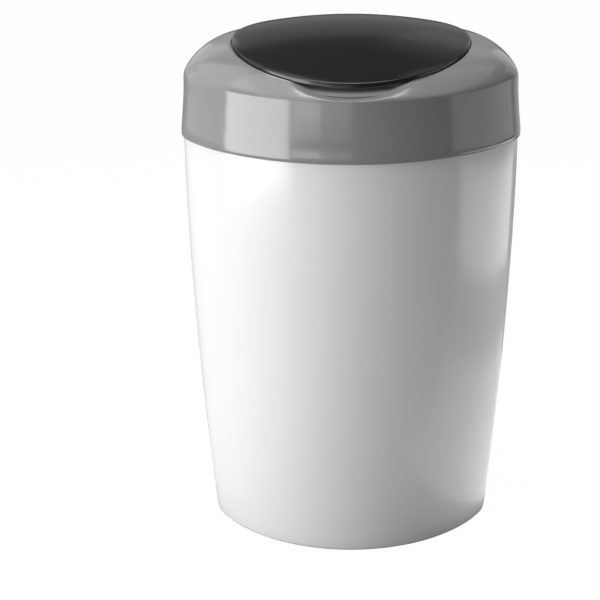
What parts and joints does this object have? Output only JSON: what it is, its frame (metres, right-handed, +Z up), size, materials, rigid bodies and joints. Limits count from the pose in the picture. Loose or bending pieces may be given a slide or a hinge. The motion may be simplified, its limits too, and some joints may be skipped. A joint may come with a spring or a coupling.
{
  "type": "nappy bin",
  "caption": "Tall rounded-triangle nappy bin with a hinged cover, a round flip lid over a finger scoop, and a twist dial that turns a ring-shaped film refill.",
  "frame": {"origin": "on the floor, below the middle of the bounding box", "axes": "+Z up, the front with the finger scoop faces -Y, +X to the right as seen from the front"},
  "size_m": [0.256, 0.25, 0.3999],
  "materials": {
    "body_white": "glossy white moulded plastic",
    "cover_grey": "glossy mid-grey moulded plastic",
    "lid_black": "high-gloss near-black plastic",
    "inner_plastic": "satin light-grey plastic",
    "dark_plastic": "satin dark-grey plastic",
    "grip_rubber": "soft matt rubber",
    "steel": "plain steel",
    "refill_plastic": "frosted clear plastic",
    "film": "thin pale green plastic film in flat pleats"
  },
  "bodies": {
    "bin": {"bin_body": "body_white", "deck": "inner_plastic", "cover_hinge_pin": "steel", "film_grip": "grip_rubber", "grip_retainer": "inner_plastic", "grip_screws": "steel"},
    "refill": {"film_carrier": "inner_plastic", "refill_tray": "refill_plastic", "refill_film": "film", "refill_loose_film": "film"},
    "cover": {"top_cover": "cover_grey", "cover_liner": "inner_plastic", "liner_screws": "steel", "dial_retainer": "inner_plastic", "retainer_screws": "steel", "click_springs": "steel", "lid_hinge_pin": "steel"},
    "dial": {"twist_dial": "inner_plastic", "dial_grips": "grip_rubber", "cutter_guard": "dark_plastic", "cutter_spring": "steel"},
    "cutter": {"cutter_button": "dark_plastic", "cutter_blade": "steel"},
    "lid": {"flip_lid": "lid_black", "lid_plunger": "inner_plastic", "lid_seal": "grip_rubber", "lid_screws": "steel"}
  },
  "joints": [
    {"name": "cover_hinge", "type": "hinge", "parent": "bin", "child": "cover", "pos_m": [0, 0.1184, 0.3216], "axis": [-1, 0, 0], "range_deg": [0, 95]},
    {"name": "lid_hinge", "type": "hinge", "parent": "cover", "child": "lid", "pos_m": [0, 0.0698, 0.38486], "axis": [-1, 0, 0], "range_deg": [0, 105]},
    {"name": "dial_twist", "type": "hinge", "parent": "cover", "child": "dial", "pos_m": [0, -0.023, 0.35], "axis": [0, 0, 1], "continuous": true},
    {"name": "carrier_turn", "type": "hinge", "parent": "bin", "child": "refill", "pos_m": [0, -0.023, 0.29], "axis": [0, 0, 1], "continuous": true},
    {"name": "cutter_push", "type": "slide", "parent": "dial", "child": "cutter", "axis": [0, 0, -1], "range_m": [0, 0.006], "stiffness_N_per_m": 300, "springref_m": -0.002, "deforming": ["cutter_spring"]}
  ],
  "couplings": [
    {"joint": "carrier_turn", "follows": "dial_twist", "ratio": 1}
  ]
}
